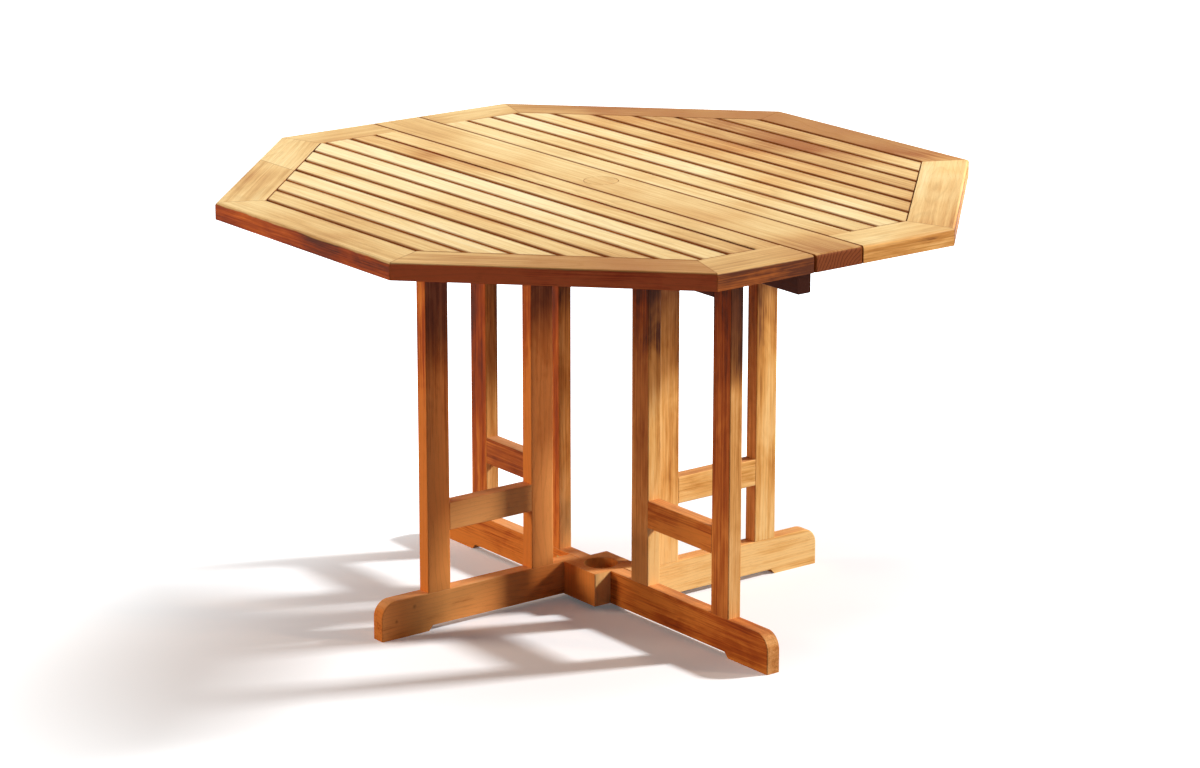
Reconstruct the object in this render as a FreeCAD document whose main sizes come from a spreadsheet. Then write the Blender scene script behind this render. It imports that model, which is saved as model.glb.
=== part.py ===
import FreeCAD, Part
import os

import Sketcher

# Octagonal umbrella table in teak: a narrow centre board on a fixed frame, a hinged leaf on each
# side of it, and under each leaf a gate that swings in against the fixed frame.
# Millimetres. The origin is on the floor under the middle of the top. +Z is up and +X runs along
# the slats. Front is -Y, rear is +Y, left is -X and right is +X.

DRIVING = {
    # The whole top.
    "top_length": 1200,
    "top_width": 1180,
    "top_thickness": 28,
    "table_height": 728,
    "corner_cut": 352,
    "rim_radius": 5,
    # Centre board and the seams beside it.
    "board_width": 95,
    "seam_gap": 2,
    "seam_radius": 0.8,
    "umbrella_hole": 58,
    "hole_radius": 1,
    "plug_clearance": 0.5,
    # Leaf frame and its slats.
    "side_rail_width": 82,
    "corner_rail_width": 77,
    "outer_rail_width": 74,
    "inner_rail_width": 45,
    "splice_place": 362,
    "slat_count": 8,
    "slat_gap": 5.5,
    "slat_end_gap": 0.8,
    "slat_corner_gap": 2,
    "slat_radius": 2,
    # Battens under each leaf.
    "batten_width": 45,
    "batten_depth": 18,
    "batten_radius": 2,
    "batten_spacing": 330,
    "batten_inner_margin": 10,
    "batten_outer_margin": 70,
    # Posts, rails and feet of the fixed frame and the gates.
    "frame_thickness": 26,
    "frame_radius": 2,
    "post_width": 45,
    "post_spacing": 167,
    "fixed_post_place": 100,
    "gate_post_place": 66.5,
    "rail_height": 47,
    "mid_rail_level": 167,
    "foot_height": 66,
    "foot_relief": 9,
    "relief_slope": 8,
    "fixed_toe": 100,
    "gate_toe": 93,
    "toe_radius": 28,
    # Bearer and hubs.
    "bearer_height": 57,
    "bearer_reach": 519,
    "hub_length": 88,
    "hub_width": 92,
    "lower_bore": 58,
    "upper_bore": 50,
    # Tenons and tongues, and the play of the mortises and grooves that they go into.
    "tenon_thickness": 9,
    "tenon_shoulder": 6,
    "post_tenon": 30,
    "rail_tenon": 18,
    "hub_tenon": 10,
    "tongue_reach": 8,
    "mortise_play": 0.1,
    "mortise_depth_play": 1,
    # Clearances of the gates.
    "gate_side_clearance": 0.5,
    "gate_end_clearance": 1.5,
    "gate_head_clearance": 0.5,
    # Butt hinges of the leaves and the gates.
    "barrel_radius": 4,
    "barrel_face_gap": 0.3,
    "barrel_side_gap": 0.5,
    "knuckle_gap": 0.4,
    "pin_radius": 2,
    "pin_play": 0.05,
    "plate_thickness": 2,
    "plate_reach": 30,
    "leaf_hinge_length": 60,
    "gate_hinge_length": 34,
    "leaf_hinge_inner_place": 160,
    "leaf_hinge_outer_place": 430,
    # Wood screws of the hinges.
    "screw_radius": 1.8,
    "screw_length": 14,
    "screw_tip": 4,
    "screw_head_radius": 3.4,
    "screw_head_height": 1.4,
    "screw_play": 0.1,
    "screw_edge_margin": 7,
    "screw_stagger": 5,
}

# Places worked out from the driving sizes.
PLACES = {
    "half_length": "=dims.top_length / 2",
    "half_width": "=dims.top_width / 2",
    "top_under": "=dims.table_height - dims.top_thickness",
    "board_half": "=dims.board_width / 2",
    "leaf_start": "=board_half + dims.seam_gap",
    "leaf_pin_side": "=board_half + dims.seam_gap / 2",
    # Along a cut corner, and along each line beside it, x + y is the same all the way.
    "rim_sum": "=half_length + half_width - dims.corner_cut",
    "field_end": "=half_length - dims.side_rail_width",
    "field_side": "=half_width - dims.outer_rail_width",
    "field_sum": "=rim_sum - dims.corner_rail_width * sqrt(2)",
    "slat_end": "=field_end - dims.slat_end_gap",
    "slat_sum": "=field_sum - dims.slat_corner_gap * sqrt(2)",
    "tongue_end": "=field_end + dims.tongue_reach",
    "tongue_sum": "=field_sum + dims.tongue_reach * sqrt(2)",
    "groove_depth": "=dims.tongue_reach + dims.mortise_depth_play",
    "groove_sum": "=field_sum + groove_depth * sqrt(2)",
    "slats_start": "=leaf_start + dims.inner_rail_width + dims.slat_gap",
    "slat_pitch": "=(field_side - slats_start) / dims.slat_count",
    "slat_width": "=slat_pitch - dims.slat_gap",
    "frame_half": "=dims.frame_thickness / 2",
    "tenon_half": "=dims.tenon_thickness / 2",
    "tongue_low": "=dims.top_thickness / 2 - tenon_half",
    "groove_low": "=tongue_low - dims.mortise_play",
    "groove_height": "=dims.tenon_thickness + 2 * dims.mortise_play",
    "hub_half": "=dims.hub_length / 2",
    "hub_height": "=dims.foot_height - dims.foot_relief",
    "bearer_under": "=top_under - dims.bearer_height",
    "gate_plane": "=hub_half + dims.gate_side_clearance + frame_half",
    "gate_start": "=frame_half + dims.gate_end_clearance",
    "gate_top": "=top_under - dims.batten_depth - dims.gate_head_clearance",
    "gate_rail_under": "=gate_top - dims.rail_height",
    "pin_offset": "=dims.barrel_radius + dims.barrel_face_gap",
    "gate_pin_side": "=gate_plane + frame_half + pin_offset",
    "gate_pin_front": "=frame_half + pin_offset",
    "lower_hinge_level": "=(dims.foot_relief + dims.foot_height) / 2",
    "upper_hinge_level": "=(bearer_under + gate_top) / 2",
    "plate_start": "=dims.barrel_radius + dims.barrel_side_gap",
    "plate_middle": "=(plate_start + dims.plate_reach) / 2",
    "plate_low": "=pin_offset - dims.plate_thickness",
}

# Edges nearer than this to where they should be are taken as being there.
SAME_PLACE = 1e-6

UP = FreeCAD.Vector(0, 0, 1)
RIGHT = FreeCAD.Vector(1, 0, 0)
REAR = FreeCAD.Vector(0, 1, 0)

doc = FreeCAD.newDocument("umbrella_table")
nodes = []


def fill_sheet(name, cells):
    """A spreadsheet with one named cell for each entry of cells."""
    sheet = doc.addObject("Spreadsheet::Sheet", name)
    for row, (alias, content) in enumerate(cells.items(), start=1):
        sheet.set("A%d" % row, alias)
        sheet.set("B%d" % row, str(content))
        sheet.setAlias("B%d" % row, alias)
    doc.recompute()
    return sheet


dims = fill_sheet("dims", DRIVING)
places = fill_sheet("places", PLACES)


def value(formula):
    """The number that formula gives."""
    return float(dims.evalExpression(formula))


def bind(thing, formulas):
    """Ties each property of thing to its formula."""
    for name, formula in formulas.items():
        thing.setExpression(name, formula)


def bind_base(thing, base):
    """Ties the place of thing to three formulas."""
    bind(thing, {"Placement.Base." + axis: formula for axis, formula in zip("xyz", base)})


def node(thing, label):
    """Names thing as one sub-part of the table."""
    thing.Label = label
    nodes.append(thing)
    return thing


# Bodies, blocks, outlines and rounded edges


def new_body(name, turn=0, base=("0", "0", "0")):
    """A body that stands at base, turned about +Z by turn degrees."""
    body = doc.addObject("PartDesign::Body", name)
    body.Placement = FreeCAD.Placement(FreeCAD.Vector(), FreeCAD.Rotation(UP, turn))
    bind_base(body, base)
    return body


def block(body, kind, base, extent):
    """An Additive or Subtractive block of body, from base on."""
    feature = body.newObject("PartDesign::%sBox" % kind, "block")
    bind(feature, dict(zip(("Length", "Width", "Height"), extent)))
    bind_base(feature, base)
    return feature


def round_bar(body, kind, rotation, base, radius, length):
    """An Additive or Subtractive cylinder of body; rotation turns its axis away from +Z."""
    feature = body.newObject("PartDesign::%sCylinder" % kind, "round_bar")
    feature.Placement = FreeCAD.Placement(FreeCAD.Vector(), rotation)
    bind(feature, {"Radius": radius, "Height": length})
    bind_base(feature, base)
    return feature


def outline(body, points, plane="XY_Plane", level="0"):
    """A closed sketch through points, pairs of formulas, at level above the plane."""
    sketch = body.newObject("Sketcher::SketchObject", "outline")
    support = [item for item in body.Origin.OriginFeatures if item.Role == plane]
    sketch.AttachmentSupport = (support[0], [""])
    sketch.MapMode = "FlatFace"
    sketch.setExpression("AttachmentOffset.Base.z", level)
    corners = [FreeCAD.Vector(value(across), value(along)) for across, along in points]
    count = len(corners)
    for i in range(count):
        sketch.addGeometry(Part.LineSegment(corners[i], corners[(i + 1) % count]))
    for i in range(count):
        sketch.addConstraint(Sketcher.Constraint("Coincident", i, 2, (i + 1) % count, 1))
    for i, pair in enumerate(points):
        for kind, formula in zip(("DistanceX", "DistanceY"), pair):
            index = sketch.addConstraint(Sketcher.Constraint(kind, i, 1, value(formula)))
            sketch.setExpression("Constraints[%d]" % index, formula)
    return sketch


def pad(body, sketch, thickness, side="One side"):
    """Thickens sketch by the formula thickness."""
    feature = body.newObject("PartDesign::Pad", "pad")
    feature.Profile = sketch
    feature.SideType = side
    feature.setExpression("Length", thickness)
    return feature


def ease(body, radius, *picks):
    """Rounds the edges of body that all the picks choose."""
    doc.recompute()
    base = body.Tip
    edges = enumerate(base.Shape.Edges, start=1)
    names = ["Edge%d" % i for i, edge in edges if all(pick(edge) for pick in picks)]
    feature = body.newObject("PartDesign::Fillet", "round")
    feature.Base = (base, names)
    feature.setExpression("Radius", radius)
    return feature


def along(direction):
    """Picks the straight edges that run along direction."""

    def picks(edge):
        span = edge.Vertexes[-1].Point - edge.Vertexes[0].Point
        return abs(abs(span.dot(direction)) - edge.Length) < SAME_PLACE

    return picks


def reach(edge, direction):
    """How far edge goes along direction, at its least and at its most."""
    ends = [vertex.Point.dot(direction) for vertex in edge.Vertexes]
    return min(ends), max(ends)


def at(direction, formula):
    """Picks the edges that lie at one distance along direction."""
    level = value(formula)
    return lambda edge: max(abs(end - level) for end in reach(edge, direction)) < SAME_PLACE


def beyond(direction, formula):
    """Picks the edges that go past one distance along direction."""
    level = value(formula)
    return lambda edge: reach(edge, direction)[1] > level + SAME_PLACE


def not_across(edge):
    """Picks the edges that do not run straight along Y."""
    return not along(REAR)(edge)


def round_edge(edge):
    """Picks whole circles."""
    return len(edge.Vertexes) == 1


# Tenons of the frame and the gates


def tenon(male, female, axis, face, way, length, low, width):
    """A tenon of male that goes past face along axis into a mortise of female.

    Low and width are the member's own, along the other one of x and z. Where female is None, the
    mortise is cut elsewhere.
    """
    play = "dims.mortise_play"
    deeper = length + " + dims.mortise_depth_play"
    starts = {1: "%s - dims.tenon_shoulder", -1: "%s - " + length}
    mortise_starts = {1: "%s", -1: "%s - " + length + " - dims.mortise_depth_play"}
    runs = [
        (male, "Additive", starts[way] % face, length + " + dims.tenon_shoulder", "0"),
        (female, "Subtractive", mortise_starts[way] % face, deeper, play),
    ]
    for body, kind, start, run, room in runs:
        if body is None:
            continue
        inset = "%s + dims.tenon_shoulder - %s" % (low, room)
        span = "%s - 2 * dims.tenon_shoulder + 2 * %s" % (width, room)
        depth = "-places.tenon_half - %s" % room
        thickness = "dims.tenon_thickness + 2 * %s" % room
        if axis == "x":
            block(body, kind, (start, depth, inset), (run, thickness, span))
        else:
            block(body, kind, (inset, depth, start), (span, thickness, run))


def foot(name, turn, base, start, heel, toe):
    """A foot from start to toe; it stands on the pad from heel on and is clear of the floor before."""
    body = new_body(name, turn, base)
    profile = [
        (start, "dims.foot_relief"),
        ("%s - dims.relief_slope" % heel, "dims.foot_relief"),
        (heel, "0"),
        (toe, "0"),
        (toe, "dims.foot_height"),
        (start, "dims.foot_height"),
    ]
    pad(body, outline(body, profile, "XZ_Plane"), "dims.frame_thickness", "Symmetric")
    ease(body, "dims.toe_radius", along(REAR), at(RIGHT, toe), at(UP, "dims.foot_height"))
    ease(body, "dims.frame_radius", beyond(UP, "dims.foot_relief"), beyond(RIGHT, start), not_across)
    return body


def member(name, turn, base, start, run, low, height, direction):
    """A straight post or rail whose edges along direction are rounded."""
    body = new_body(name, turn, base)
    block(body, "Additive", (start, "-places.frame_half", low), (run, "dims.frame_thickness", height))
    ease(body, "dims.frame_radius", along(direction))
    return body


def panel(label, turn, base, inner, toe, post_top, start):
    """The foot, two posts and mid rail that the fixed frame and the gates have alike.

    It is built along +X from the middle of the table and then turned. Inner is where the first
    post starts and start is where the foot does.
    """
    inner_face = "(%s + dims.post_width)" % inner
    outer = "(%s + dims.post_spacing)" % inner_face
    outer_face = "(%s + dims.post_width)" % outer
    parts = {"foot": foot(label % "foot", turn, base, start, outer_face, "%s + %s" % (outer_face, toe))}
    for name, place in (("inner_post", inner), ("outer_post", outer)):
        height = "%s - dims.foot_height" % post_top
        post = member(label % name, turn, base, place, "dims.post_width", "dims.foot_height", height, UP)
        tenon(
            post, parts["foot"], "z", "dims.foot_height", -1, "dims.post_tenon", place, "dims.post_width"
        )
        parts[name] = post
    parts["mid_rail"] = cross_rail(
        label % "mid_rail", turn, base, inner_face, "dims.mid_rail_level", parts
    )
    return parts


def cross_rail(name, turn, base, inner_face, level, parts):
    """A rail from post to post, tenoned into both."""
    rail = member(name, turn, base, inner_face, "dims.post_spacing", level, "dims.rail_height", RIGHT)
    far_face = "%s + dims.post_spacing" % inner_face
    for post, face, way in (("inner_post", inner_face, -1), ("outer_post", far_face, 1)):
        tenon(rail, parts[post], "x", face, way, "dims.rail_tenon", level, "dims.rail_height")
    return rail


def post_heads(parts, head_rail, inner, face):
    """The tenons on top of both posts, in the rail or bearer that they carry."""
    for name, shift in (("inner_post", ""), ("outer_post", " + dims.post_width + dims.post_spacing")):
        tenon(parts[name], head_rail, "z", face, 1, "dims.post_tenon", inner + shift, "dims.post_width")


def fixed_panel(side, turn):
    """One half of the fixed frame: foot, posts, rails and the bearer under the centre board."""
    base = ("0", "0", "0")
    label = "%s_" + side
    inner = "dims.fixed_post_place"
    parts = panel(label, turn, base, inner, "dims.fixed_toe", "places.bearer_under", "places.hub_half")
    top_level = "places.bearer_under - dims.rail_height"
    inner_face = "(%s + dims.post_width)" % inner
    parts["top_rail"] = cross_rail(label % "top_rail", turn, base, inner_face, top_level, parts)
    bearer = new_body(label % "bearer", turn, base)
    low = ("places.hub_half", "-places.frame_half", "places.bearer_under")
    run = "dims.bearer_reach - places.hub_half"
    block(bearer, "Additive", low, (run, "dims.frame_thickness", "dims.bearer_height"))
    ease(bearer, "dims.frame_radius", along(RIGHT), at(UP, "places.bearer_under"))
    post_heads(parts, bearer, inner, "places.bearer_under")
    parts["bearer"] = bearer
    for male, low, width in (
        (parts["foot"], "dims.foot_relief", "places.hub_height"),
        (bearer, "places.bearer_under", "dims.bearer_height"),
    ):
        tenon(male, None, "x", "places.hub_half", -1, "dims.hub_tenon", low, width)
    return parts


def gate(side, turn, way):
    """A gate: a panel like the fixed frame's with a top rail over its posts."""
    base = ("%d * places.gate_plane" % way, "0", "0")
    label = "gate_" + side + "_%s"
    inner = "dims.gate_post_place"
    parts = panel(
        label, turn, base, inner, "dims.gate_toe", "places.gate_rail_under", "places.gate_start"
    )
    run = "%s + 2 * dims.post_width + dims.post_spacing - places.gate_start" % inner
    parts["top_rail"] = member(
        label % "top_rail", turn, base, "places.gate_start", run, "places.gate_rail_under",
        "dims.rail_height", RIGHT
    )
    post_heads(parts, parts["top_rail"], inner, "places.gate_rail_under")
    return parts


def hub(name, low, height, bore):
    """A block with a bore for the umbrella pole and a mortise on its left and on its right."""
    body = new_body(name)
    corner = ("-places.hub_half", "-dims.hub_width / 2", low)
    block(body, "Additive", corner, ("dims.hub_length", "dims.hub_width", height))
    ease(body, "dims.frame_radius", along(UP))
    round_bar(body, "Subtractive", FreeCAD.Rotation(), ("0", "0", low), bore + " / 2", height)
    depth = "dims.hub_tenon + dims.mortise_depth_play"
    extent = (
        depth,
        "places.groove_height",
        height + " - 2 * dims.tenon_shoulder + 2 * dims.mortise_play",
    )
    for start in ("-places.hub_half", "places.hub_half - (%s)" % depth):
        base = (start, "-places.groove_height / 2", low + " + dims.tenon_shoulder - dims.mortise_play")
        block(body, "Subtractive", base, extent)
    return body


# Boards of the top


def plank(name, turn, points, rounds):
    """A board of the top; rounds gives the radius of some top edges by their first point."""
    body = new_body(name, turn, ("0", "0", "places.top_under"))
    pad(body, outline(body, points), "dims.top_thickness")
    for first, radius in rounds.items():
        ends = [points[first], points[(first + 1) % len(points)]]
        start, stop = (FreeCAD.Vector(value(x), value(y), value("dims.top_thickness")) for x, y in ends)
        ease(body, radius, on_line(start, stop))
    return body


def on_line(start, stop):
    """Picks the edges that lie on the line from start to stop."""
    way = (stop - start).normalize()

    def picks(edge):
        return all((vertex.Point - start).cross(way).Length < SAME_PLACE for vertex in edge.Vertexes)

    return picks


def strip_points(low, high, end, corner_sum):
    """The outline of a strip from low to high whose ends stop at end and at the corner lines."""
    def at_edge(level):
        return ("min(%s; %s - (%s))" % (end, corner_sum, level), level)

    turn_level = "%s - %s" % (corner_sum, end)
    right = [at_edge(low)]
    if value(low) < value(turn_level) < value(high):
        right.append((end, turn_level))
    right.append(at_edge(high))
    return right + [("-%s" % across, level) for across, level in reversed(right)]


def strip(name, turn, low, high, end, corner_sum, low_radius):
    """A slat or rail along X with a tongue at each end."""
    points = strip_points(low, high, end, corner_sum)
    upper = len(points) // 2 - 1
    body = plank(name, turn, points, {len(points) - 1: low_radius, upper: "dims.slat_radius"})
    inset_low = "%s + dims.tenon_shoulder" % low
    inset_high = "%s - dims.tenon_shoulder" % high
    tongue = strip_points(inset_low, inset_high, "places.tongue_end", "places.tongue_sum")
    pad(body, outline(body, tongue, level="places.tongue_low"), "dims.tenon_thickness")
    return body


def mirrored(points, way):
    """The same outline on the right, way +1, or on the left, way -1."""
    return [("%d * (%s)" % (way, across), level) for across, level in points]


def side_rail(name, turn, way):
    """The rail at one end of a leaf, from the seam to the corner rail, with a groove inside."""
    points = [
        ("places.field_end", "places.leaf_start"),
        ("places.half_length", "places.leaf_start"),
        ("places.half_length", "places.rim_sum - places.half_length"),
        ("places.field_end", "places.field_sum - places.field_end"),
    ]
    body = plank(name, turn, mirrored(points, way), {1: "dims.rim_radius", 0: "dims.seam_radius"})
    starts = {1: "places.field_end", -1: "-places.field_end - places.groove_depth"}
    low = "places.leaf_start + dims.tenon_shoulder - dims.mortise_play"
    extent = ("places.groove_depth", "places.half_width", "places.groove_height")
    block(body, "Subtractive", (starts[way], low, "places.groove_low"), extent)
    return body


def corner_rail(name, turn, way, start, stop):
    """The rail of a cut corner between two cuts, each a pair of points, inner one first."""
    points = mirrored([start[0], start[1], stop[1], stop[0]], way)
    body = plank(name, turn, points, {1: "dims.rim_radius"})
    groove = [
        ("places.half_length", "places.field_sum - places.half_length"),
        ("places.half_length", "places.groove_sum - places.half_length"),
        ("places.groove_sum - places.half_width", "places.half_width"),
        ("places.field_sum - places.half_width", "places.half_width"),
    ]
    cut = body.newObject("PartDesign::Pocket", "groove")
    cut.Profile = outline(body, mirrored(groove, way), level="places.groove_low + places.groove_height")
    cut.setExpression("Length", "places.groove_height")
    return body


SIDE_MITRE = (
    ("places.field_end", "places.field_sum - places.field_end"),
    ("places.half_length", "places.rim_sum - places.half_length"),
)
OUTER_MITRE = (
    ("places.field_sum - places.field_side", "places.field_side"),
    ("places.rim_sum - places.half_width", "places.half_width"),
)
SPLICE = (
    ("places.field_sum - dims.splice_place", "dims.splice_place"),
    ("places.rim_sum - dims.splice_place", "dims.splice_place"),
)


def leaf(side, turn, right, left):
    """The frame of a leaf, its slats and its battens, built on the rear side and then turned.

    Right and left are the names of the sides that +X and -X have once it is turned.
    """
    label = "leaf_" + side + "_%s"
    rail_high = "places.leaf_start + dims.inner_rail_width"
    inner_rail = strip(
        label % "inner_rail", turn, "places.leaf_start", rail_high, "places.field_end",
        "places.field_sum", "dims.seam_radius"
    )
    for way, name in ((1, right), (-1, left)):
        node(side_rail(label % "side_rail_" + name, turn, way), label % "side_rail_" + name)
        corner = label % "corner_rail_" + name
        if (side, name) == ("front", "left"):
            node(corner_rail(corner, turn, way, SIDE_MITRE, SPLICE), corner)
            node(corner_rail(corner + "_end", turn, way, SPLICE, OUTER_MITRE), corner + "_end")
        else:
            node(corner_rail(corner, turn, way, SIDE_MITRE, OUTER_MITRE), corner)
    outer = list(mirrored(OUTER_MITRE, -1)) + list(OUTER_MITRE[::-1])
    outer_rounds = {1: "dims.rim_radius", 3: "dims.slat_radius"}
    node(plank(label % "outer_rail", turn, outer, outer_rounds), label % "outer_rail")
    long_slats = []
    short_slats = []
    for i in range(int(value("dims.slat_count"))):
        low = "places.slats_start + %d * places.slat_pitch" % i
        high = "%s + places.slat_width" % low
        slat = strip(
            label % "slat_%d" % i, turn, low, high, "places.slat_end", "places.slat_sum",
            "dims.slat_radius"
        )
        clipped = value(high) > value("places.slat_sum - places.slat_end")
        (short_slats if clipped else long_slats).append(slat)
    node(group(label % "slats_long", long_slats), label % "slats_long")
    node(group(label % "slats_short", short_slats), label % "slats_short")
    middles = ("places.gate_plane", "dims.batten_spacing", "-dims.batten_spacing")
    battens = [batten(label % "batten_%d" % i, turn, middle) for i, middle in enumerate(middles)]
    node(group(label % "battens", battens), label % "battens")
    return inner_rail


def batten(name, turn, middle):
    """A batten across the underside of a leaf, as long as the cut corner lets it be."""
    body = new_body(name, turn)
    start = "places.leaf_start + dims.batten_inner_margin"
    margins = "dims.batten_width / 2 + dims.batten_outer_margin * sqrt(2)"
    corner = "places.rim_sum - abs(%s) - (%s)" % (middle, margins)
    stop = "min(places.half_width - dims.batten_outer_margin; %s)" % corner
    low = "places.top_under - dims.batten_depth"
    base = ("%s - dims.batten_width / 2" % middle, start, low)
    extent = ("dims.batten_width", "%s - (%s)" % (stop, start), "dims.batten_depth")
    block(body, "Additive", base, extent)
    ease(body, "dims.batten_radius", along(REAR), at(UP, low))
    return body


def group(name, things):
    """Several separate solids as one thing."""
    compound = doc.addObject("Part::Compound", name)
    compound.Links = things
    return compound


# Hinges and their screws


def hinge_plate(name, length, knuckles):
    """A hinge plate whose axis is X, with its wood at pin_offset above the axis.

    The barrel has three knuckles, numbered from -X, and knuckles are the numbers of this plate's.
    """
    body = new_body(name)
    base = ("-%s / 2" % length, "places.plate_start", "places.plate_low")
    reach_out = "dims.plate_reach - places.plate_start"
    block(body, "Additive", base, (length, reach_out, "dims.plate_thickness"))
    along_x = FreeCAD.Rotation(REAR, 90)
    knuckle = "(%s - 2 * dims.knuckle_gap) / 3" % length
    for number in knuckles:
        start = "-%s / 2 + %d * (%s + dims.knuckle_gap)" % (length, number, knuckle)
        extent = (knuckle, "places.plate_start", "dims.plate_thickness")
        block(body, "Additive", (start, "0", "places.plate_low"), extent)
        round_bar(body, "Additive", along_x, (start, "0", "0"), "dims.barrel_radius", knuckle)
    bore = "dims.pin_radius + dims.pin_play"
    round_bar(body, "Subtractive", along_x, ("-%s / 2" % length, "0", "0"), bore, length)
    for place in screw_places(length):
        shank = "dims.screw_radius + dims.screw_play"
        round_bar(body, "Subtractive", FreeCAD.Rotation(), place, shank, "dims.plate_thickness")
        seat = body.newObject("PartDesign::SubtractiveCone", "seat")
        bind(seat, {
            "Radius1": "dims.screw_head_radius + dims.screw_play",
            "Radius2": shank,
            "Height": "dims.screw_head_height",
        })
        bind_base(seat, place)
    return body


def screw_places(length):
    """Where the two screws of a plate have their heads."""
    reach_out = "(%s / 2 - dims.screw_edge_margin)" % length
    across = "places.plate_middle + %d * dims.screw_stagger"
    return [("%d * %s" % (way, reach_out), across % way, "places.plate_low") for way in (1, -1)]


def hinge_pin(name, length):
    """A hinge pin along X."""
    body = new_body(name)
    base = ("-%s / 2" % length, "0", "0")
    round_bar(body, "Additive", FreeCAD.Rotation(REAR, 90), base, "dims.pin_radius", length)
    return body


def screw():
    """A countersunk wood screw that goes up from its head at the origin."""
    body = new_body("screw")
    profile = [
        ("0", "0"),
        ("dims.screw_head_radius", "0"),
        ("dims.screw_radius", "dims.screw_head_height"),
        ("dims.screw_radius", "dims.screw_length - dims.screw_tip"),
        ("0", "dims.screw_length"),
    ]
    turned = body.newObject("PartDesign::Revolution", "turned")
    turned.Profile = outline(body, profile, "XZ_Plane")
    turned.ReferenceAxis = (turned.Profile[0], ["V_Axis"])
    turned.Angle = 360
    return body


def screw_hole():
    """The room that a screw takes, from its head on."""
    hole = doc.addObject("Part::Cylinder", "screw_hole")
    bind(hole, {
        "Radius": "dims.screw_radius + dims.screw_play",
        "Height": "dims.screw_length + dims.mortise_depth_play",
    })
    return hole


def copy_of(thing, rotation, base):
    """A copy of thing, turned by rotation and set at base."""
    link = doc.addObject("App::Link", thing.Name + "_copy")
    link.LinkedObject = thing
    link.Placement = FreeCAD.Placement(FreeCAD.Vector(), rotation)
    bind_base(link, base)
    return link


def moved(place, rotation, base):
    """Place, three formulas, turned by quarter turns and set at base."""
    axes = [rotation.multVec(axis) for axis in (RIGHT, REAR, UP)]
    result = []
    for row in range(3):
        terms = ["%d * (%s)" % (round(axis[row]), formula) for axis, formula in zip(axes, place)]
        result.append(" + ".join([base[row]] + [term for term in terms if not term.startswith("0")]))
    return result


class Hardware:
    """The plates and screws that one body of the table carries, and the holes in its wood."""

    def __init__(self):
        self.plates = []
        self.screws = []
        self.holes = {}

    def fit(self, plate, length, rotation, base, wood):
        """Sets a plate at base and screws it to wood."""
        self.plates.append(copy_of(plate, rotation, base))
        for place in screw_places(length):
            head = moved(place, rotation, base)
            self.screws.append(copy_of(SCREW, rotation, head))
            self.holes.setdefault(wood.Name, []).append(copy_of(SCREW_HOLE, rotation, head))


def drilled(wood, hardware):
    """The wood with the holes of its screws."""
    wood.Label = wood.Name + "_undrilled"
    cut = doc.addObject("Part::Cut", wood.Name + "_drilled")
    cut.Base = wood
    cut.Tool = group(wood.Name + "_holes", hardware.holes[wood.Name])
    return cut


# The table

upper_hub = hub("hub_upper_block", "places.bearer_under", "dims.bearer_height", "dims.upper_bore")
node(upper_hub, "hub_upper")
node(hub("hub_lower_block", "dims.foot_relief", "places.hub_height", "dims.lower_bore"), "hub_lower")

board_points = [
    ("-places.half_length", "-places.board_half"),
    ("places.half_length", "-places.board_half"),
    ("places.half_length", "places.board_half"),
    ("-places.half_length", "places.board_half"),
]
board_rounds = {
    0: "dims.seam_radius",
    1: "dims.rim_radius",
    2: "dims.seam_radius",
    3: "dims.rim_radius",
}
board = plank("board", 0, board_points, board_rounds)
hole_radius = "dims.umbrella_hole / 2"
round_bar(
    board, "Subtractive", FreeCAD.Rotation(), ("0", "0", "0"), hole_radius, "dims.top_thickness"
)
ease(board, "dims.hole_radius", round_edge, at(UP, "dims.top_thickness"))

plug = new_body("plug")
plug_radius = hole_radius + " - dims.plug_clearance"
plug_base = ("0", "0", "places.top_under")
round_bar(plug, "Additive", FreeCAD.Rotation(), plug_base, plug_radius, "dims.top_thickness")
ease(plug, "dims.hole_radius", round_edge, at(UP, "dims.table_height"))
node(plug, "umbrella_plug")

SCREW = screw()
SCREW_HOLE = screw_hole()
OUTER_KNUCKLES = (0, 2)
MIDDLE_KNUCKLE = (1,)
leaf_length = "dims.leaf_hinge_length"
gate_length = "dims.gate_hinge_length"
board_plate = hinge_plate("board_plate", leaf_length, OUTER_KNUCKLES)
leaf_plate = hinge_plate("leaf_plate", leaf_length, MIDDLE_KNUCKLE)
frame_plate = hinge_plate("frame_plate", gate_length, OUTER_KNUCKLES)
gate_plate = hinge_plate("gate_plate", gate_length, MIDDLE_KNUCKLE)
leaf_pin = hinge_pin("leaf_pin", leaf_length)
gate_pin = hinge_pin("gate_pin", gate_length)

# A gate's hinge axis is upright: its own plate lies on the gate's outer side and the other plate
# on the side of the fixed frame.
ON_GATE = FreeCAD.Rotation(UP, RIGHT, REAR, "XYZ")
ON_FRAME = FreeCAD.Rotation(-UP, -REAR, -RIGHT, "XYZ")

board_hardware = Hardware()
frame_hardware = Hardware()
pins = []
hinge_places = [
    "%d * dims.leaf_hinge_%s_place" % (way, name) for name in ("inner", "outer") for way in (1, -1)
]

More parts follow.
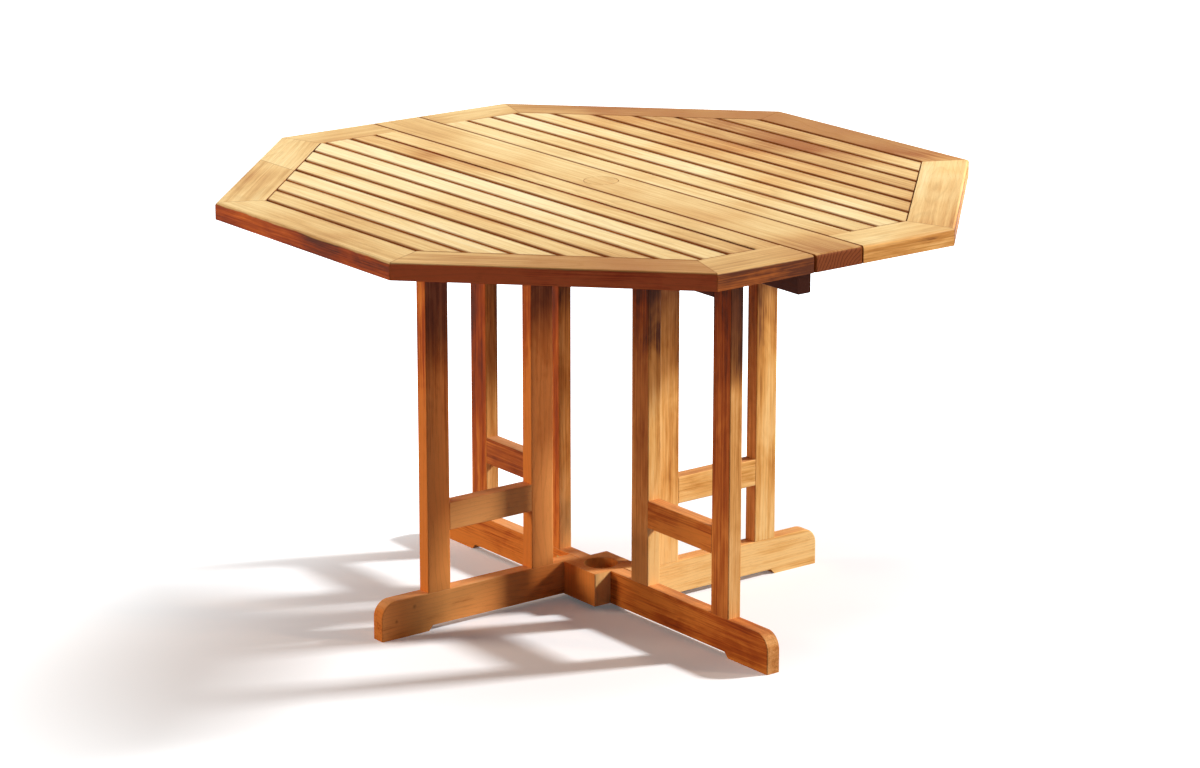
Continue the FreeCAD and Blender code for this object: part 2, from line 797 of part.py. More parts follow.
# Side, the turn of what is built on the rear or along +X, and the sides that +X and -X become.
for side, leaf_turn, right, left in (("rear", 0, "right", "left"), ("front", 180, "left", "right")):
    way = 1 if side == "rear" else -1
    gate_turn = 90 * way
    fixed = fixed_panel(right, leaf_turn)
    swinging = gate(side, gate_turn, way)
    inner_rail = leaf(side, leaf_turn, right, left)
    leaf_hardware = Hardware()
    gate_hardware = Hardware()

    outward = FreeCAD.Rotation(UP, leaf_turn)
    inward = FreeCAD.Rotation(UP, leaf_turn + 180)
    for place in hinge_places:
        base = (place, "%d * places.leaf_pin_side" % way, "places.top_under - places.pin_offset")
        leaf_hardware.fit(leaf_plate, leaf_length, outward, base, inner_rail)
        board_hardware.fit(board_plate, leaf_length, inward, base, board)
        pins.append(copy_of(leaf_pin, outward, base))

    turn = FreeCAD.Rotation(UP, gate_turn)
    levels = (("lower", "foot", "foot"), ("upper", "top_rail", "bearer"))
    for level, gate_part, frame_part in levels:
        base = (
            "%d * places.gate_pin_side" % way,
            "%d * places.gate_pin_front" % way,
            "places.%s_hinge_level" % level,
        )
        gate_hardware.fit(gate_plate, gate_length, turn * ON_GATE, base, swinging[gate_part])
        frame_hardware.fit(frame_plate, gate_length, turn * ON_FRAME, base, fixed[frame_part])
        pins.append(copy_of(gate_pin, turn * ON_GATE, base))

    node(drilled(inner_rail, leaf_hardware), "leaf_%s_inner_rail" % side)
    node(group("plates", leaf_hardware.plates), "leaf_%s_hinge_plates" % side)
    node(group("screws", leaf_hardware.screws), "leaf_%s_screws" % side)
    for name, body in swinging.items():
        wood = drilled(body, gate_hardware) if body.Name in gate_hardware.holes else body
        node(wood, "gate_%s_%s" % (side, name))
    node(group("plates", gate_hardware.plates), "gate_%s_hinge_plates" % side)
    node(group("screws", gate_hardware.screws), "gate_%s_screws" % side)
    for name, body in fixed.items():
        wood = drilled(body, frame_hardware) if body.Name in frame_hardware.holes else body
        node(wood, "%s_%s" % (name, right))

node(drilled(board, board_hardware), "centre_board")
node(group("plates", board_hardware.plates), "board_hinge_plates")
node(group("plates", frame_hardware.plates), "frame_hinge_plates")
node(group("screws", board_hardware.screws + frame_hardware.screws), "frame_screws")
node(group("pins", pins), "hinge_pins")

# Checks and files

doc.recompute()
for thing in doc.Objects:
    if "Invalid" in thing.State or "Error" in thing.State:
        raise RuntimeError("%s failed: %s" % (thing.Label, thing.State))
os.makedirs("parts", exist_ok=True)
for thing in nodes:
    if thing.Shape.isNull() or not thing.Shape.isValid() or not thing.Shape.Solids:
        raise RuntimeError("%s has no sound shape" % thing.Label)
for thing in nodes:
    thing.Shape.exportStep("parts/%s.step" % thing.Label)
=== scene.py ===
import math
from collections import namedtuple

import bpy
from mathutils import Matrix, Vector


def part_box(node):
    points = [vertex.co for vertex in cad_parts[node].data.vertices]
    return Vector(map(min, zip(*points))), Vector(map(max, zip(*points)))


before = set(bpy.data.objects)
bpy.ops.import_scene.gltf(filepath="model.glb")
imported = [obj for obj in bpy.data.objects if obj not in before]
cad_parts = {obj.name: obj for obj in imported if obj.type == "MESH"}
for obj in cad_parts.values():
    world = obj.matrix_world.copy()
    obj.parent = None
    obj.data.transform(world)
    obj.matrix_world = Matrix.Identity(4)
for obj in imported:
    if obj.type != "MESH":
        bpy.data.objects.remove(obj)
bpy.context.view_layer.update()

# Oiled teak umbrella table: boards that each have their own grain, figure and tone, satin brass
# hinges and screws, a pale floor and soft studio light from the right. Metres.


# Shader building


def from_screen(red, green, blue):
    """A colour as a screen shows it, 0 to 255, as the linear colour that a shader takes."""
    return tuple(
        c / 12.92 if c <= 0.04045 else ((c + 0.055) / 1.055) ** 2.4
        for c in (red / 255, green / 255, blue / 255)
    ) + (1.0,)


class Shader:
    """The node tree of one material or of the world."""

    def __init__(self, owner):
        owner.use_nodes = True
        self.tree = owner.node_tree
        self.tree.nodes.clear()

    def add(self, kind, inputs=None, **settings):
        """A node whose inputs are values or other nodes' outputs."""
        node = self.tree.nodes.new("ShaderNode" + kind)
        for name, setting in settings.items():
            setattr(node, name, setting)
        for key, source in (inputs or {}).items():
            if isinstance(source, bpy.types.NodeSocket):
                self.tree.links.new(source, node.inputs[key])
            else:
                node.inputs[key].default_value = source
        return node

    def math(self, operation, *values, clamp=False):
        """The result of a sum of one, two or three numbers."""
        node = self.add("Math", dict(enumerate(values)), operation=operation, use_clamp=clamp)
        return node.outputs[0]

    def weigh(self, start, *terms):
        """Start plus each value times its weight."""
        total = start
        for source, weight in terms:
            total = self.math("MULTIPLY_ADD", source, weight, total)
        return total

    def smooth(self, source, low, high, first=0.0, last=1.0):
        """Goes softly from first at low to last at high."""
        inputs = {0: source, 1: low, 2: high, 3: first, 4: last}
        return self.add("MapRange", inputs, interpolation_type="SMOOTHSTEP").outputs[0]

    def towards(self, part):
        """How far a face looks along an axis, 0 to 1, from that part of its normal."""
        return self.smooth(part, 0.3, 0.9)

    def split(self, vector):
        """The three parts of a vector."""
        return self.add("SeparateXYZ", {0: vector}).outputs

    def join(self, x, y, z):
        """A vector from three parts."""
        return self.add("CombineXYZ", {0: x, 1: y, 2: z}).outputs[0]

    def stretch(self, vector, x, y, z):
        """The vector with each part times its own number."""
        return self.add("VectorMath", {0: vector, 1: (x, y, z)}, operation="MULTIPLY").outputs[0]

    def length(self, vector):
        """How long a vector is."""
        return self.add("VectorMath", {0: vector}, operation="LENGTH").outputs["Value"]

    def seen_from(self, vector, place=(0, 0, 0), turn=(0, 0, 0), size=(1, 1, 1)):
        """The vector as seen from a body at place, turned by turn and of that size."""
        inputs = {"Vector": vector, "Location": place, "Rotation": turn, "Scale": size}
        return self.add("Mapping", inputs, vector_type="TEXTURE").outputs[0]

    def patch(self, vector, place, size, most=1.0):
        """Most about place, going softly to nothing at size away from it."""
        away = self.length(self.seen_from(vector, place, size=size))
        return self.smooth(away, 0.1, 1.0, most, 0.0)

    def noise(self, vector, detail=2.0, roughness=0.5, distortion=0.0):
        """Soft noise about 0.5, at one period per unit of the vector."""
        inputs = {
            "Vector": vector, "Scale": 1.0, "Detail": detail, "Roughness": roughness,
            "Distortion": distortion,
        }
        return self.add("TexNoise", inputs).outputs[0]

    def blend(self, share, first, second):
        """Two colours mixed by share."""
        return self.add("Mix", {0: share, 6: first, 7: second}, data_type="RGBA").outputs[2]

    def ramp(self, source, stops):
        """Colours from a value; stops are pairs of place and colour."""
        node = self.add("ValToRGB", {0: source})
        elements = node.color_ramp.elements
        elements[0].position, elements[0].color = stops[0]
        elements[1].position, elements[1].color = stops[-1]
        for place, colour in stops[1:-1]:
            element = elements.new(place)
            element.color = colour
        return node.outputs[0]

    def bump(self, height, strength, distance):
        """A normal that follows height."""
        inputs = {"Height": height, "Strength": strength, "Distance": distance}
        return self.add("Bump", inputs).outputs[0]

    def seen_directly(self):
        """1 for rays from the camera, also by way of metal or glass, and 0 for other rays."""
        path = self.add("LightPath").outputs
        seen = self.math("ADD", path["Is Camera Ray"], path["Is Glossy Ray"])
        return self.math("ADD", seen, path["Is Transmission Ray"], clamp=True)

    def finish(self, shader, kind="OutputMaterial"):
        """Ends the tree with shader."""
        self.add(kind, {0: shader})


# Sizes of the table that the grain and the marks follow

TOP_HEIGHT = 0.728
SEAM_PLACE = 0.0485
SLATS_START = 0.100
SLATS_END = 0.518
SLATS_CORNER = 0.7291
SLAT_PITCH = 0.052
SLAT_WIDTH = 0.0465
SLAT_SHARE = SLAT_WIDTH / SLAT_PITCH
OUTER_RAIL_START = 0.516
SPLICE_PLACE = 0.362

# Tones, each a ramp from pale to dark. A board's level, 0 to 1, picks the place on the ramp.

TONE_PLACES = (0.08, 0.36, 0.64, 0.94)


def tones(*colours):
    """A ramp of four screen colours."""
    return [(place, from_screen(*colour)) for place, colour in zip(TONE_PLACES, colours)]


PALE_TONES = tones((253, 236, 188), (241, 214, 155), (222, 184, 122), (184, 134, 78))
HONEY_TONES = tones((246, 208, 134), (230, 184, 112), (206, 148, 82), (152, 82, 34))
RED_TONES = tones((230, 138, 58), (190, 96, 34), (154, 68, 26), (84, 42, 28))
GOLD_TONES = tones((250, 212, 142), (234, 184, 108), (204, 146, 74), (118, 72, 42))
RUDDY_TONES = tones((236, 112, 66), (208, 86, 50), (164, 58, 38), (92, 40, 34))
# Painted shade: the dusky ramp stands for the faces towards +X that the table's top shades.
DUSKY_SHADE_TONES = tones((150, 90, 66), (124, 72, 54), (98, 58, 46), (62, 40, 38))
END_TONE = from_screen(140, 76, 40)
DARK_TONE = from_screen(74, 34, 10)
EDGE_TONE = from_screen(134, 72, 16)
PORE_TONE = from_screen(116, 60, 26)


def side_tones(gold):
    """A side's ramp: golden as gold goes from 0 to 1, ruddy as it goes from 0 to -1."""
    share = min(abs(gold), 1.0)
    return [
        (place, tuple(a + (b - a) * share for a, b in zip(red, other)))
        for (place, red), (_, other) in zip(RED_TONES, GOLD_TONES if gold > 0 else RUDDY_TONES)
    ]


# Marks on the boards

# A dark line where two boards meet, or along a board's edge: the points where |x| times weight_x
# plus |y| times weight_y is distance.
Seam = namedtuple("Seam", "weight_x weight_y distance half_width darkness")


def glued(first, second):
    """A glued joint through two points in |x| and |y|."""
    way = (Vector(second) - Vector(first)).normalized()
    normal = Vector((-way.y, way.x))
    distance = normal.dot(Vector(first))
    return Seam(normal.x, normal.y, distance, half_width=0.0018, darkness=0.45)


SIDE_MITRE = glued((SLATS_END, 0.2111), (0.600, 0.238))
OUTER_MITRE = glued((0.2131, OUTER_RAIL_START), (0.248, 0.590))
SPLICE = Seam(0.0, 1.0, SPLICE_PLACE, 0.0013, 0.6)
FRONT_SEAM = Seam(0.0, 1.0, SEAM_PLACE, 0.0058, 1.0)
REAR_SEAM = Seam(0.0, 1.0, SEAM_PLACE, 0.0050, 0.5)
OUTER_EDGE = Seam(0.0, 1.0, OUTER_RAIL_START, 0.0045, 0.85)
SLAT_ENDS = [
    Seam(1.0, 0.0, SLATS_END, 0.0036, 0.9),
    Seam(math.sqrt(0.5), math.sqrt(0.5), SLATS_CORNER * math.sqrt(0.5), 0.0036, 0.9),
]

# Patches of the top that took more oil, or less where darker is below zero.
Oiled = namedtuple("Oiled", "x y reach_x reach_y darker")
OILED = [
    Oiled(-0.20, 0.52, 0.54, 0.32, 0.28),
    Oiled(0.50, -0.26, 0.36, 0.36, 0.20),
    Oiled(-0.56, 0.0, 0.26, 0.10, 0.26),
    Oiled(0.59, 0.0, 0.12, 0.10, 0.24),
    Oiled(0.30, 0.56, 0.26, 0.20, -0.44),
]

# Small knots, each a place and a size.
KNOTS = {
    "gate_front_foot": [((-0.0445, -0.352, 0.049), 0.0055), ((-0.0445, -0.388, 0.030), 0.0045)],
}
KNOT_DARKNESS = 0.42

# How far in from a slat's edge the painted shade of the gap starts to fade, and where it ends.
SLAT_GAP_SHADE = (0.0010, 0.0070)

# The boards

# Turns that bring a board's length to X.
TURNS = {
    "x": (0, 0, 0),
    "y": (0, 0, math.pi / 2),
    "z": (0, -math.pi / 2, 0),
    "rising": (0, 0, math.pi / 4),
    "falling": (0, 0, -math.pi / 4),
}
CORNER_GRAIN = {
    "leaf_rear_corner_rail_right": "falling",
    "leaf_rear_corner_rail_left": "rising",
    "leaf_front_corner_rail_right": "rising",
    "leaf_front_corner_rail_left": "falling",
    "leaf_front_corner_rail_left_end": "falling",
}

# How much darker a piece's top and sides are than usual, and how golden its sides are: partly each
# board's own tone, partly painted light and shade, with lighter or redder sides on pieces that
# stand in shade, such as the hub and the front gate, and more golden ones on the lit rear gate.
Character = namedtuple("Character", "top side gold")
USUAL_TONE_AND_LIGHT = Character(0.0, 0.1, 0.3)
TONES_AND_LIGHT_BY_PIECE = {
    "centre_board": Character(0.10, 0.14, 0.0),
    "umbrella_plug": Character(0.12, 0.1, 0.2),
    "leaf_front_inner_rail": Character(0.04, 0.3, 0.2),
    "leaf_front_side_rail_right": Character(-0.02, 0.14, 0.0),
    "leaf_front_side_rail_left": Character(0.30, 0.2, 0.3),
    "leaf_front_corner_rail_left": Character(0.20, 0.22, 0.1),
    "leaf_front_corner_rail_left_end": Character(0.34, 0.2, 0.2),
    "leaf_front_corner_rail_right": Character(0.30, -0.56, -1.00),
    "leaf_front_outer_rail": Character(0.20, 0.26, -0.10),
    "leaf_front_slats_long": Character(-0.02, -0.30, 0.45),
    "leaf_front_slats_short": Character(0.02, -0.30, 0.45),
    "leaf_rear_inner_rail": Character(0.04, 0.3, 0.3),
    "leaf_rear_side_rail_right": Character(-0.10, -0.06, 0.7),
    "leaf_rear_side_rail_left": Character(0.40, 0.2, 0.3),
    "leaf_rear_corner_rail_right": Character(0.06, 0.05, 0.7),
    "leaf_rear_corner_rail_left": Character(0.56, 0.15, 0.3),
    "leaf_rear_outer_rail": Character(0.48, 0.15, 0.4),
    "leaf_rear_slats_long": Character(0.08, -0.30, 0.45),
    "leaf_rear_slats_short": Character(0.12, -0.30, 0.45),
    "foot_left": Character(0.0, 0.10, 0.35),
    "foot_right": Character(0.0, 0.05, 0.24),
    "inner_post_left": Character(0.0, 0.04, 0.45),
    "inner_post_right": Character(0.0, -0.12, 0.72),
    "outer_post_left": Character(0.0, 0.18, 0.40),
    "outer_post_right": Character(0.0, -0.06, 0.50),
    "mid_rail_left": Character(0.0, 0.24, 0.50),
    "mid_rail_right": Character(0.0, -0.12, 0.45),
    "hub_lower": Character(0.0, -0.84, 0.50),
    "gate_front_foot": Character(0.0, -0.02, 0.02),
    "gate_front_inner_post": Character(0.0, -0.28, 0.06),
    "gate_front_outer_post": Character(0.0, -0.40, -0.06),
    "gate_front_mid_rail": Character(0.0, -0.48, 0.24),
    "gate_rear_foot": Character(0.0, 0.0, 0.80),
    "gate_rear_inner_post": Character(0.0, -0.02, 0.70),
    "gate_rear_outer_post": Character(0.0, 0.0, 0.75),
    "gate_rear_mid_rail": Character(0.0, -0.06, 0.75),
}

# How the top and the frame look with age and light: where their sides' level starts, how much
# darker the sides are for each metre up (painted shade of the table's top), how much paler what
# faces up is (sun bleaching and a painted highlight of the lit top), and how dark end grain is.
Ageing = namedtuple("Ageing", "side_start height bleached end_share")
TOP_AGE_AND_LIGHT = Ageing(side_start=-0.89, height=0.0, bleached=1.0, end_share=0.9)
FRAME_AGE_AND_LIGHT = Ageing(side_start=-1.25, height=1.20, bleached=0.25, end_share=0.12)

# Where a top's level starts.
TOP_START = -1.055

# Painted shade of the table's top: the frame's sides take the shaded ramps above the second
# height, and softly less of them down to the first.
TOP_SHADE_HEIGHTS = (0.43, 0.57)
TOP_SHADE_SHARE = 0.85

# Added to a board's gold as painted light and shade: on the faces across X and towards the rear,
# which stand for the lit sides, and on the front ones, which stand for the shaded sides.
LIT_SIDE_GOLD = 0.25
SHADED_SIDE_GOLD = -0.42

# The pith, the middle of the log, lies on a circle below the board, as (across, up) from the
# board's middle. Each board takes the next turn on it. The centre board has its own.
PITH_TURN = 2.4
PITH_CIRCLE = 0.03
PITH_DEPTH = -0.05
CENTRE_BOARD_PITH = (0.12, -0.09)

Board = namedtuple(
    "Board", "name seed middle turn character ageing pith on_top slatted seams knots"
)


def grain_of(name):
    """Which way the length of a wooden piece lies."""
    if name in CORNER_GRAIN:
        return CORNER_GRAIN[name]
    if "post" in name or name == "hub_lower":
        return "z"
    if "side_rail" in name or "battens" in name or name.startswith("gate_"):
        return "y"
    return "x"


def pith_of(name, seed):
    """Where the pith lies from the middle of a piece."""
    if name == "centre_board":
        return CENTRE_BOARD_PITH
    turn = seed * PITH_TURN
    return PITH_CIRCLE * math.sin(turn), PITH_DEPTH - PITH_CIRCLE * math.cos(turn)


def seams_of(name):
    """The seams that cross or border a piece."""
    seams = []
    if "side_rail" in name or "corner_rail" in name:
        seams.append(SIDE_MITRE)
    if "outer_rail" in name or "corner_rail" in name:
        seams.append(OUTER_MITRE)
    if "outer_rail" in name:
        seams.append(OUTER_EDGE)
    if "front_corner_rail_left" in name:
        seams.append(SPLICE)
    if name in ("centre_board", "leaf_front_inner_rail"):
        seams.append(FRONT_SEAM)
    if name == "leaf_rear_inner_rail":
        seams.append(REAR_SEAM)
    if "slats" in name:
        seams += SLAT_ENDS
    return seams


def board_of(name, seed):
    """What the wood of a piece is like; the seed sets its place in the log."""
    low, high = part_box(name)
    on_top = name.startswith("leaf_") or name in ("centre_board", "umbrella_plug")
    return Board(
        name=name,
        seed=seed,
        middle=(low + high) / 2,
        turn=TURNS[grain_of(name)],
        character=TONES_AND_LIGHT_BY_PIECE.get(name, USUAL_TONE_AND_LIGHT),
        ageing=TOP_AGE_AND_LIGHT if on_top else FRAME_AGE_AND_LIGHT,
        pith=pith_of(name, seed),
        on_top=on_top,
        slatted="slats" in name,
        seams=seams_of(name),
        knots=KNOTS.get(name, ()),
    )


# Several slats share one node. Each is cut somewhere from a log of this length and width, by a
# draw from its own number, while whole boards follow each other along the log.
LOG_LENGTH = 9.0
LOG_WIDTH = 0.05
BOARD_STEP = 0.37

# Keeps the slats of one side of the table apart from the other's.
SIDE_STEP = 20.0

# How far along the log a slat or board lies, its own tone and hue from 0 to 1, the place across
# the log, and for a slat the place across it, in pitches from its middle.
Slat = namedtuple("Slat", "lot tone hue across from_middle")


def slat_at(shader, place, seed):
    """The slat at a place, drawn from its side, its number out from the middle and the seed."""
    side = shader.math("SIGN", place[1])
    from_start = shader.math("SUBTRACT", shader.math("ABSOLUTE", place[1]), SLATS_START)
    from_start = shader.math("DIVIDE", from_start, SLAT_PITCH)
    number = shader.math("FLOOR", from_start)
    lane = shader.math("MULTIPLY_ADD", side, SIDE_STEP, shader.math("ADD", number, float(seed)))
    drawn = shader.add("TexWhiteNoise", {"W": lane}, noise_dimensions="1D")
    tone, hue, shift = shader.split(drawn.outputs["Color"])
    from_middle = shader.math("SUBTRACT", from_start, number)
    from_middle = shader.math("SUBTRACT", from_middle, SLAT_SHARE / 2)
    across = shader.math("MULTIPLY", from_middle, SLAT_PITCH)
    across = shader.math("MULTIPLY_ADD", shift, LOG_WIDTH, across)
    lot = shader.math("MULTIPLY", drawn.outputs["Value"], LOG_LENGTH)
    return Slat(lot, tone, hue, across, from_middle)


# Periods of each noise per metre: along the grain, across it and through the board.
WANDER = (1.6, 9, 9)
SWAY = (9, 26, 26)
STREAK = (1.8, 140, 140)
FIBRE = (12, 430, 430)
PORE = (60, 1500, 1500)
DRIFT = (2.6, 9, 9)
MOTTLE = (9, 22, 22)
CLOUD = (4.2, 4.2, 4.2)

# Growth rings and changes of tone per metre from the pith.
RINGS = 150.0
SEASONS = 60.0

# How dark a growth ring is on its way out from the pith.
RING_LINE = [
    (place, (dark, dark, dark, 1))
    for place, dark in ((0.0, 0.0), (0.62, 0.12), (0.88, 1.0), (1.0, 0.05))
]

Figure = namedtuple("Figure", "line season streak fibre pore drift cloud mottle")


def figure_of(shader, along, across, depth, pith, spot):
    """What varies through the wood, each 0 to 1, from the place in the log and on the table.

    The growth rings are circles about the pith, which wander slowly along the board, so they show
    as long arches on its faces and as arcs on its ends. Streaks, fibres, pores, drift and mottle
    lie along the grain, and clouds lie across all boards.
    """
    grown = shader.join(along, across, depth)
    wander = shader.noise(shader.stretch(grown, *WANDER))
    sway = shader.noise(shader.stretch(grown, *SWAY))
    from_pith = shader.join(
        0.0, shader.math("SUBTRACT", across, pith[0]), shader.math("SUBTRACT", depth, pith[1])
    )
    radius = shader.weigh(shader.length(from_pith), (wander, 0.075), (sway, 0.008))
    ring = shader.math("FRACT", shader.math("MULTIPLY", radius, RINGS))
    years = shader.join(0.0, shader.math("MULTIPLY", radius, SEASONS), 0.0)
    return Figure(
        line=shader.ramp(ring, RING_LINE),
        season=shader.noise(years, 1.0),
        streak=shader.noise(shader.stretch(grown, *STREAK), 3.0, 0.6),
        fibre=shader.noise(shader.stretch(grown, *FIBRE), 3.0, 0.65),
        pore=shader.smooth(shader.noise(shader.stretch(grown, *PORE), 1.0), 0.60, 0.74),
        drift=shader.noise(shader.stretch(grown, *DRIFT)),
        cloud=shader.noise(shader.stretch(spot, *CLOUD)),
        mottle=shader.noise(shader.stretch(grown, *MOTTLE), 3.0, 0.6, 0.6),
    )


def top_level(shader, board, figure, slat, spot, place):
    """How dark a face is that looks up."""
    level = shader.weigh(
        board.character.top + TOP_START, (figure.drift, 0.45), (figure.cloud, 0.62),
        (figure.streak, 0.64), (figure.season, 0.32), (figure.fibre, 0.44), (slat.tone, 0.44),
        (place[0], 0.20),
    )
    if board.on_top:
        for x, y, reach_x, reach_y, darker in OILED:
            patch = shader.patch(spot, (x, y, TOP_HEIGHT), (reach_x, reach_y, 1.0))
            level = shader.weigh(level, (patch, darker))
    return level


def top_colour(shader, figure, slat, level, place):
    """The colour of a face that looks up: pale, or honey in clouds and in some slats."""
    hue = shader.weigh(
        -0.50, (figure.cloud, 1.1), (slat.hue, 0.5), (place[0], 0.10), (place[1], 0.30)
    )
    return shader.blend(
        shader.smooth(hue, 0.20, 0.80), shader.ramp(level, PALE_TONES),
        shader.ramp(level, HONEY_TONES),
    )


def side_colour(shader, board, figure, level, place, normal):
    """The colour of a face that looks sideways.

    Faces across X or towards the rear take the golden ramp and the front faces the red one:
    painted light and shade, for the lit and the shaded sides of the same wood. High on the frame
    the sides take a painted shade of the table's top, dusky on the faces towards +X and red on the
    others, and they go lighter towards the floor.
    """
    character = board.character
    # The sides darken going up: painted shade of the table's top.
    side_level = shader.weigh(
        character.side - character.top + board.ageing.side_start, (level, 1.0),
        (figure.mottle, 0.95), (figure.streak, 0.14), (figure.fibre, 0.42), (figure.season, 0.28),
        (place[2], board.ageing.height), (shader.math("MAXIMUM", normal[1], 0.0), 0.42),
    )
    # Painted light and shade: golden on faces across X and towards the rear, red on the front
    # faces.
    lit_side = shader.math("MAXIMUM", shader.math("ABSOLUTE", normal[0]), normal[1])
    shaded_gold = max(character.gold + SHADED_SIDE_GOLD, min(character.gold, 0.0))
    colour = shader.blend(
        shader.towards(lit_side), shader.ramp(side_level, side_tones(shaded_gold)),
        shader.ramp(side_level, side_tones(character.gold + LIT_SIDE_GOLD)),
    )
    if board.on_top:
        return colour
    # Painted shade of the table's top on the frame: dusky on the faces towards +X and red on the
    # others, high up.
    painted_shade = shader.blend(
        shader.towards(normal[0]), shader.ramp(side_level, RED_TONES),
        shader.ramp(side_level, DUSKY_SHADE_TONES),
    )
    height = shader.weigh(-0.04, (place[2], 1.0), (figure.mottle, 0.08))
    top_shade = shader.smooth(height, *TOP_SHADE_HEIGHTS, 0.0, TOP_SHADE_SHARE)
    return shader.blend(top_shade, colour, painted_shade)


def dark_marks(shader, board, slat, spot, place, colour):
    """The colour with the painted shade of the gaps between slats, the lines between boards and
    the knots.
    """
    # Painted shade of the gaps: a slat's sides and the edges of its top darken towards the gaps
    # beside it.
    if board.slatted:
        to_edge = shader.math("ABSOLUTE", slat.from_middle)
        to_edge = shader.math("SUBTRACT", SLAT_SHARE / 2, to_edge)
        to_edge = shader.math("MULTIPLY", to_edge, SLAT_PITCH)
        edge = shader.smooth(to_edge, *SLAT_GAP_SHADE, 1.0, 0.0)
        edge = shader.math("MULTIPLY", edge, shader.weigh(0.55, (slat.hue, 0.5)), clamp=True)
        colour = shader.blend(edge, colour, EDGE_TONE)
    for seam in board.seams:
        away = shader.weigh(
            -seam.distance, (shader.math("ABSOLUTE", place[0]), seam.weight_x),
            (shader.math("ABSOLUTE", place[1]), seam.weight_y),
        )
        near = shader.smooth(
            shader.math("ABSOLUTE", away), seam.half_width * 0.25, seam.half_width,
            seam.darkness, 0.0,
        )
        colour = shader.blend(near, colour, EDGE_TONE)
    for knot, size in board.knots:
        dark = shader.patch(spot, knot, (size, size, size), KNOT_DARKNESS)
        colour = shader.blend(dark, colour, DARK_TONE)
    return colour


def teak(board):
    """Oiled teak for a board, with its own rings, streaks, fibres, pores, clouds and marks.

    What faces up is paler, the frame less than the top, to an uneven line along the rounded edges:
    partly sun bleaching, partly a painted highlight standing for the brightly lit top. End grain
    drinks more oil and turns darker.
    """
    material = bpy.data.materials.new("teak " + board.name.replace("_", " "))
    shader = Shader(material)
    whole = shader.add("TexCoord").outputs
    spot = whole["Object"]
    place = shader.split(spot)
    normal = shader.split(whole["Normal"])
    length, across, depth = shader.split(shader.seen_from(spot, board.middle, board.turn))
    if board.slatted:
        slat = slat_at(shader, place, board.seed)
    else:
        slat = Slat(board.seed * BOARD_STEP, 0.5, 0.5, across, None)
    along = shader.math("ADD", length, slat.lot)
    figure = figure_of(shader, along, slat.across, depth, board.pith, spot)
    line, fibre, pore = figure.line, figure.fibre, figure.pore

    level = top_level(shader, board, figure, slat, spot, place)
    # Faces that look up turn paler: sun bleaching and a painted highlight of the lit top.
    upward = shader.weigh(-0.55, (normal[2], 1.0), (figure.mottle, 1.10))
    colour = shader.blend(
        shader.smooth(upward, 0.35, 0.80, 0.0, board.ageing.bleached),
        side_colour(shader, board, figure, level, place, normal),
        top_colour(shader, figure, slat, level, place),
    )
    colour = shader.blend(shader.weigh(0.0, (line, 0.11), (pore, 0.16)), colour, PORE_TONE)

    lengthways = shader.split(shader.seen_from(whole["Normal"], turn=board.turn))[0]
    cut = shader.smooth(shader.math("ABSOLUTE", lengthways), 0.55, 0.85)
    end = shader.blend(shader.math("MULTIPLY", line, 0.85), END_TONE, DARK_TONE)
    colour = shader.blend(shader.math("MULTIPLY", cut, board.ageing.end_share), colour, end)
    colour = dark_marks(shader, board, slat, spot, place, colour)

    rough = shader.weigh(0.44, (fibre, 0.16), (line, 0.05), (pore, 0.14), (cut, 0.12))
    relief = shader.weigh(0.0, (fibre, 0.5), (pore, -0.9), (line, -0.25))
    wood = shader.add("BsdfPrincipled", {
        "Base Color": colour, "Roughness": rough, "Normal": shader.bump(relief, 0.35, 0.0004),
        "Specular IOR Level": 0.05, "Sheen Weight": 0.02, "Sheen Roughness": 0.5,
    })
    shader.finish(wood.outputs[0])
    return material


# Brass

BRASS_TONES = [
    (0.30, from_screen(226, 190, 116)),
    (0.55, from_screen(206, 164, 88)),
    (0.75, from_screen(150, 112, 58)),
]


def brass(name):
    """Satin brass, brushed along its length, with a little tarnish."""
    material = bpy.data.materials.new(name)
    shader = Shader(material)
    spot = shader.add("TexCoord").outputs["Object"]
    brushed = shader.noise(shader.stretch(spot, 60, 2500, 2500))
    tarnish = shader.noise(shader.stretch(spot, 90, 90, 90), 3.0, 0.6)
    rough = shader.weigh(0.18, (brushed, 0.18), (tarnish, 0.22))
    metal = shader.add("BsdfPrincipled", {
        "Base Color": shader.ramp(tarnish, BRASS_TONES), "Roughness": rough, "Metallic": 1.0,
        "Normal": shader.bump(brushed, 0.2, 0.0002),
    })
    shader.finish(metal.outputs[0])
    return material


satin_brass = brass("satin brass")
for number, (name, thing) in enumerate(sorted(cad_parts.items())):
    metal = "hinge" in name or "screws" in name
    thing.data.materials.clear()
    thing.data.materials.append(satin_brass if metal else teak(board_of(name, number)))

# Floor. Seen directly it is white paint that keeps the table's shadow near it and glows to pure
# white away from it. The light that it throws back at the table is that of a grey floor.

FLOOR_REACH = 30.0
SHADOW_SHAPE = (1.3, 0.75, 1.0)
SHADOW_REACH = 0.42
SHADOW_GLOW = 0.085
FULL_GLOW_REACH = 1.25

white_paint = bpy.data.materials.new("white floor")
shader = Shader(white_paint)
spot = shader.add("TexCoord").outputs["Object"]
away = shader.length(shader.stretch(spot, *SHADOW_SHAPE))
glow = shader.smooth(away, SHADOW_REACH, FULL_GLOW_REACH, SHADOW_GLOW, 1.0)
white = shader.add("BsdfDiffuse", {"Color": (0.89, 0.94, 1.0, 1)}).outputs[0]
light = shader.add("Emission", {"Color": (0.97, 1.05, 1.09, 1), "Strength": glow}).outputs[0]
shown = shader.add("AddShader", {0: white, 1: light}).outputs[0]
grey = shader.add("BsdfDiffuse", {"Color": (0.33, 0.33, 0.42, 1)}).outputs[0]
shader.finish(shader.add("MixShader", {0: shader.seen_directly(), 1: grey, 2: shown}).outputs[0])

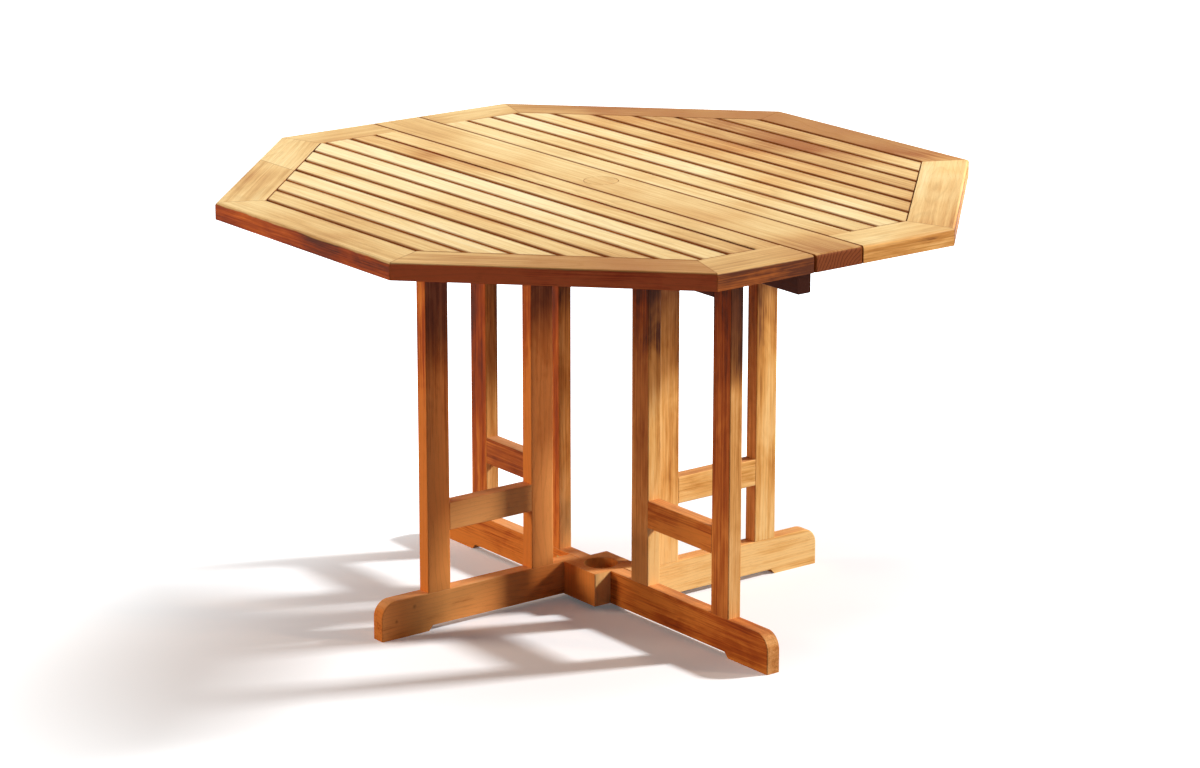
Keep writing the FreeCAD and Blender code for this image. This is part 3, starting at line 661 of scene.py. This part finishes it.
floor_mesh = bpy.data.meshes.new("floor")
floor_mesh.from_pydata(
    [(x * FLOOR_REACH, y * FLOOR_REACH, 0) for x, y in ((-1, -1), (1, -1), (1, 1), (-1, 1))],
    [], [(0, 1, 2, 3)],
)
floor_mesh.materials.append(white_paint)
floor = bpy.data.objects.new("floor", floor_mesh)
bpy.context.scene.collection.objects.link(floor)

# Light: a white backdrop that gives the table only a faint cool light, and four softboxes

BACKDROP_LIGHT = 0.05

world = bpy.data.worlds.new("studio")
bpy.context.scene.world = world
shader = Shader(world)
seen = shader.seen_directly()
strength = shader.math("MULTIPLY_ADD", seen, 1.0 - BACKDROP_LIGHT, BACKDROP_LIGHT)
tint = shader.blend(seen, (0.7, 0.75, 1.0, 1.0), (1.0, 1.0, 1.0, 1.0))
shader.finish(shader.add("Background", {0: tint, 1: strength}).outputs[0], "OutputWorld")

# Each shines at the table's middle line, at aim_height.
Softbox = namedtuple("Softbox", "name place aim_height size power colour")
SOFTBOXES = [
    Softbox("key", (3.25, 7.31, 5.20), 0.35, 0.8, 1150, (1.0, 0.985, 0.95)),
    Softbox("side", (4.06, 3.41, 1.96), 0.4, 0.55, 98, (1.0, 0.64, 0.42)),
    Softbox("fill", (-2.6, -3.6, 1.45), 0.4, 1.6, 132, (1.0, 0.78, 0.60)),
    Softbox("overhead", (-1.4, -0.6, 2.7), 0.7, 1.4, 22, (1.0, 0.985, 0.95)),
]
for softbox in SOFTBOXES:
    lamp = bpy.data.lights.new(softbox.name, "AREA")
    lamp.shape = "RECTANGLE"
    lamp.size = lamp.size_y = softbox.size
    lamp.energy = softbox.power
    lamp.color = softbox.colour
    thing = bpy.data.objects.new(softbox.name, lamp)
    way = Vector((0, 0, softbox.aim_height)) - Vector(softbox.place)
    thing.location = softbox.place
    thing.rotation_mode = "QUATERNION"
    thing.rotation_quaternion = way.to_track_quat("-Z", "Y")
    bpy.context.scene.collection.objects.link(thing)

# Camera, fitted to the photo's edges

lens = bpy.data.cameras.new("camera")
lens.lens = 117.225
lens.sensor_width = 36
lens.clip_start = 0.1
lens.clip_end = 100
camera = bpy.data.objects.new("camera", lens)
right = Vector((0.60539, 0.795929, 0.00047))
up = Vector((-0.218162, 0.165369, 0.961799))
back = Vector((0.765446, -0.582367, 0.273754))
turned = Matrix((right, up, back)).transposed().to_4x4()
camera.matrix_world = Matrix.Translation((4.9901, -3.7986, 2.1650)) @ turned
bpy.context.scene.collection.objects.link(camera)
bpy.context.scene.camera = camera

bpy.context.scene.view_settings.view_transform = "Standard"
